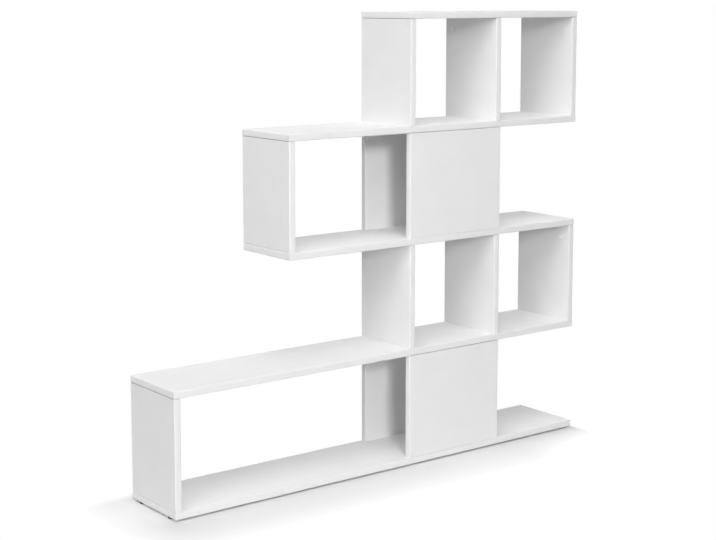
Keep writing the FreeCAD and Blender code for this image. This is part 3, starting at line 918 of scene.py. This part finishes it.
# Studio floor.
# A plain white sheet. Near the bookcase it shows its shadow, and further out the eye sees plain white,
# which starts sooner behind and towards the right, where the shadow would lie long.

floor_reach = 14.0
fade_start, fade_end = 0.01, 0.18
faster_before = (1.3, 1.0, 1.0)
faster_behind = (8.0, 4.0, 1.0)
right_start, right_end, faster_right = 0.4, 0.7, 2.5

floor_mesh = bpy.data.meshes.new("studio_floor")
floor_corners = [(x * floor_reach, y * floor_reach, 0.0) for x, y in ((-1, -1), (1, -1), (1, 1), (-1, 1))]
floor_mesh.from_pydata(floor_corners, [], [(0, 1, 2, 3)])
floor = bpy.data.objects.new("studio_floor", floor_mesh)
bpy.context.scene.collection.objects.link(floor)

floor_white = bpy.data.materials.new("floor_white")
floor_white.use_nodes = True
tree = floor_white.node_tree
tree.nodes.remove(tree.nodes["Principled BSDF"])
place = step(tree, "ShaderNodeTexCoord").outputs["Object"]
sheet = step(tree, "ShaderNodeBsdfDiffuse", {"Color": (0.8, 0.8, 0.8, 1.0)}).outputs["BSDF"]
plain_white = step(tree, "ShaderNodeEmission", {"Strength": 1.0}).outputs["Emission"]


def past(tree, first, second, faster):
    """How far one place lies past another along each axis, or nothing where it falls short, times a rate."""
    beyond = step(tree, "ShaderNodeVectorMath", {0: first, 1: second}, operation="SUBTRACT").outputs["Vector"]
    beyond = step(tree, "ShaderNodeVectorMath", {0: beyond}, operation="MAXIMUM").outputs["Vector"]
    return step(tree, "ShaderNodeVectorMath", {0: beyond, 1: faster}, operation="MULTIPLY").outputs["Vector"]


front_left, back_right = (tuple(corner) for corner in cad_box)
along = step(tree, "ShaderNodeSeparateXYZ", {"Vector": place}).outputs["X"]
rate = {"Value": along, "From Min": right_start, "From Max": right_end, "To Min": 1.0, "To Max": faster_right}
rate = step(tree, "ShaderNodeMapRange", rate).outputs["Result"]
before = past(tree, front_left, place, faster_before)
before = step(tree, "ShaderNodeVectorMath", {0: before, "Scale": rate}, operation="SCALE").outputs["Vector"]
behind = past(tree, place, back_right, faster_behind)
beside = step(tree, "ShaderNodeVectorMath", {0: before, 1: behind}).outputs["Vector"]
distance = step(tree, "ShaderNodeVectorMath", {0: beside}, operation="LENGTH").outputs["Value"]
share = step(tree, "ShaderNodeMapRange", {"Value": distance, "From Min": fade_start, "From Max": fade_end})
seen_sheet = step(tree, "ShaderNodeMixShader", {0: share.outputs["Result"], 1: sheet, 2: plain_white})
seen = step(tree, "ShaderNodeLightPath").outputs["Is Camera Ray"]
surface = step(tree, "ShaderNodeMixShader", {0: seen, 1: sheet, 2: seen_sheet.outputs["Shader"]})
tree.links.new(surface.outputs["Shader"], tree.nodes["Material Output"].inputs["Surface"])
floor_mesh.materials.append(floor_white)

# Studio light.
# White surroundings as the eye, gloss and glass see them, and six soft lamps. Three with grids that narrow
# the beam stand at the front left and the left; the others hang overhead, behind and at the right.

world = bpy.data.worlds.new("white_studio")
bpy.context.scene.world = world
world.use_nodes = True
tree = world.node_tree
path = step(tree, "ShaderNodeLightPath").outputs
seen = sum_of(tree, "MAXIMUM", path["Is Camera Ray"], path["Is Transmission Ray"])
seen = sum_of(tree, "MAXIMUM", seen, path["Is Glossy Ray"])
tree.nodes["Background"].inputs["Color"].default_value = (1.0, 1.0, 1.0, 1.0)
tree.links.new(seen, tree.nodes["Background"].inputs["Strength"])

narrow_beam, full_beam = 80, 180
middle = Vector((0.1, 0.0, 0.7))
low_left = Vector((-0.5, 0.0, 0.2))
top_left = Vector((0.05, 0.0, 1.3))


def softbox(name, left_of_front, height, distance, size, power, aim, beam):
    """Soft lamp placed round the middle by two angles and aimed at a point, with a beam in degrees."""
    turn, rise = math.radians(left_of_front), math.radians(height)
    towards = Vector((-math.sin(turn) * math.cos(rise), -math.cos(turn) * math.cos(rise), math.sin(rise)))
    lamp = bpy.data.lights.new(name, "AREA")
    lamp.shape = "RECTANGLE"
    lamp.size, lamp.size_y = size
    lamp.energy = power
    lamp.spread = math.radians(beam)
    box = bpy.data.objects.new(name, lamp)
    box.location = middle + towards * distance
    box.rotation_euler = (aim - box.location).to_track_quat("-Z", "Y").to_euler()
    bpy.context.scene.collection.objects.link(box)


softbox("key_softbox", 26, 16.5, 9.0, (1.5, 1.5), 74.0, low_left, narrow_beam)
softbox("left_front_softbox", 45, 38, 4.0, (1.7, 1.7), 7.9, top_left, narrow_beam)
softbox("left_bank", 70, 30, 5.5, (2.2, 4.0), 22.3, top_left, narrow_beam)
softbox("overhead_softbox", 30, 66, 7.0, (4.0, 4.0), 154.0, middle, full_beam)
softbox("back_softbox", 180, 40, 8.0, (6.0, 4.0), 223.0, middle, full_beam)
softbox("right_softbox", -112, 14, 5.0, (2.5, 2.5), 45.0, middle, full_beam)

# Camera.
# It stands to the left of the front, a little above the top board, and its lens is shifted down a little.

camera_lens = bpy.data.cameras.new("photo_camera")
camera_lens.sensor_width = 36.0
camera_lens.lens = 76.012
camera_lens.shift_y = -0.1257
camera = bpy.data.objects.new("photo_camera", camera_lens)
camera.location = (-2.47075, -3.17293, 1.2581)
camera.rotation_euler = Euler((1.45125, 0.00034, -0.65454), "XYZ")
bpy.context.scene.collection.objects.link(camera)
bpy.context.scene.camera = camera
bpy.context.scene.view_settings.view_transform = "Standard"
